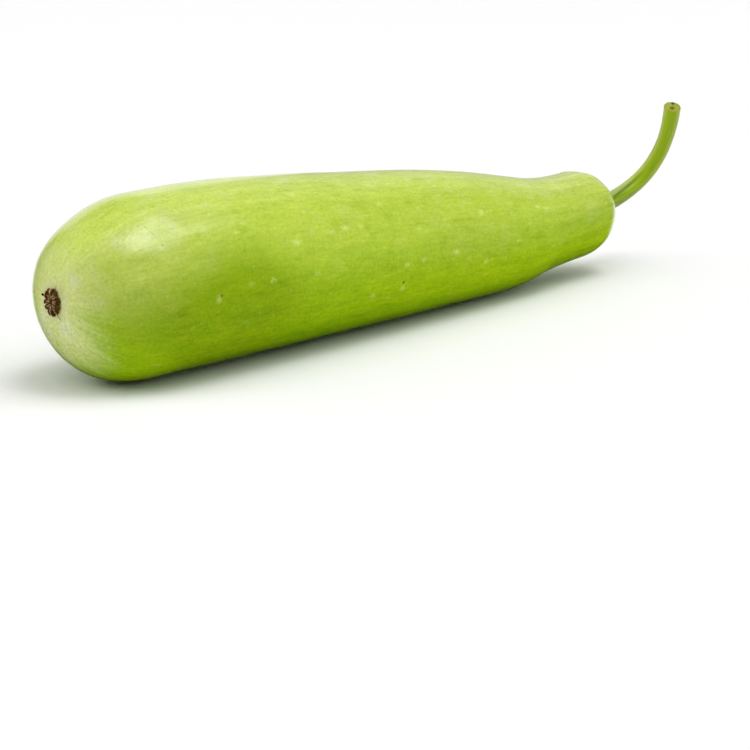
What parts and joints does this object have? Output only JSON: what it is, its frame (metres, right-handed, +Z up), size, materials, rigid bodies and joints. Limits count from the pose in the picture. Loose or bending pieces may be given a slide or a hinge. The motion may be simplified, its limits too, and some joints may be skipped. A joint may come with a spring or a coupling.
{
  "type": "bottle gourd",
  "caption": "Whole bottle gourd as picked, lying down: long pale-green fruit, full at the blossom end and waisted at the neck, with a curved ribbed stem and a dried blossom scar.",
  "frame": {"origin": "middle of the footprint of the fruit and stem together, on the surface that the fruit lies on", "axes": "+X along the fruit from the blossom end to the stem end, +Z up, and the stem curls up and to -Y"},
  "size_m": [0.4152, 0.0782, 0.0875],
  "materials": {
    "rind": "satin",
    "stem": "satin",
    "scar": "matte"
  },
  "bodies": {
    "root": {"fruit": "rind", "stem": "stem", "blossom_scar": "scar"}
  },
  "joints": []
}
